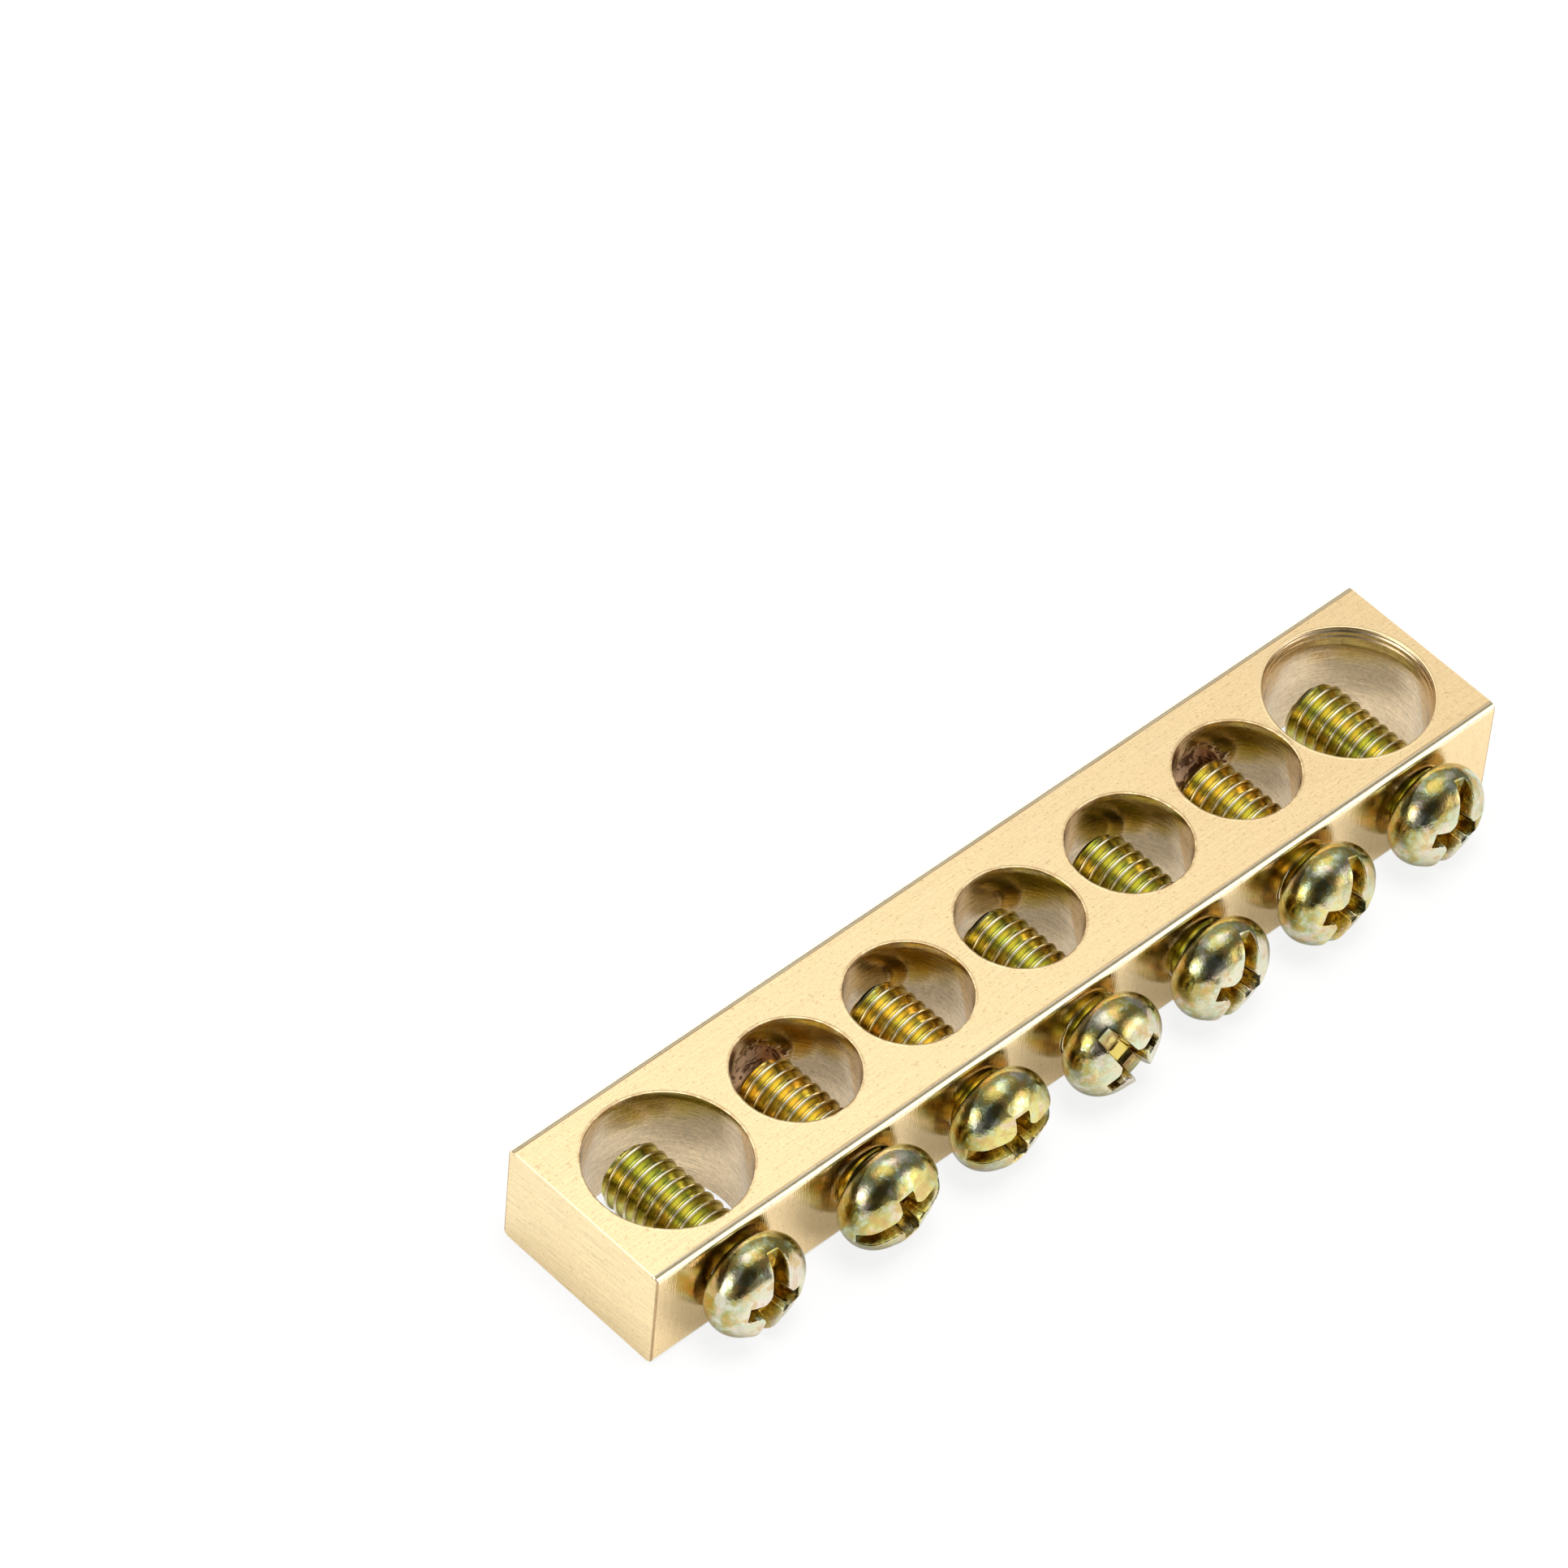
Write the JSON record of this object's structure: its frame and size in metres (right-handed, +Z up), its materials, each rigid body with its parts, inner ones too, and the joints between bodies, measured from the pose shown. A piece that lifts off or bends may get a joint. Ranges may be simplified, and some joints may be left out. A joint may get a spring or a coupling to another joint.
{
  "type": "earth terminal bar",
  "caption": "Solid brass bar with a row of through wire holes, each crossed by a pan-head clamp screw that grips an earth conductor.",
  "frame": {"origin": "on the middle wire hole's axis, in the plane of the bar's underside", "axes": "+X along the bar towards the far large hole, +Y across it away from the screw heads, +Z up along the wire holes"},
  "size_m": [0.06, 0.0145, 0.0068],
  "materials": {
    "brass": "bright drawn brass, satin, with sawn ends and drilled holes",
    "plated_steel": "bright zinc plate with a yellow passivate, iridescent"
  },
  "bodies": {
    "bar": {"brass_bar": "brass"},
    "screw_1": {"clamp_screw_1": "plated_steel"},
    "screw_2": {"clamp_screw_2": "plated_steel"},
    "screw_3": {"clamp_screw_3": "plated_steel"},
    "screw_4": {"clamp_screw_4": "plated_steel"},
    "screw_5": {"clamp_screw_5": "plated_steel"},
    "screw_6": {"clamp_screw_6": "plated_steel"},
    "screw_7": {"clamp_screw_7": "plated_steel"}
  },
  "joints": [
    {"name": "clamp_travel_1", "type": "slide", "parent": "bar", "child": "screw_1", "axis": [0, -1, 0], "range_m": [-0.00033, 0.00735]},
    {"name": "clamp_travel_2", "type": "slide", "parent": "bar", "child": "screw_2", "axis": [0, -1, 0], "range_m": [-0.00058, 0.00595]},
    {"name": "clamp_travel_3", "type": "slide", "parent": "bar", "child": "screw_3", "axis": [0, -1, 0], "range_m": [-0.0004, 0.006]},
    {"name": "clamp_travel_4", "type": "slide", "parent": "bar", "child": "screw_4", "axis": [0, -1, 0], "range_m": [-0.00055, 0.00585]},
    {"name": "clamp_travel_5", "type": "slide", "parent": "bar", "child": "screw_5", "axis": [0, -1, 0], "range_m": [-0.0005, 0.0059]},
    {"name": "clamp_travel_6", "type": "slide", "parent": "bar", "child": "screw_6", "axis": [0, -1, 0], "range_m": [-0.00058, 0.00595]},
    {"name": "clamp_travel_7", "type": "slide", "parent": "bar", "child": "screw_7", "axis": [0, -1, 0], "range_m": [-0.00043, 0.0071]}
  ]
}
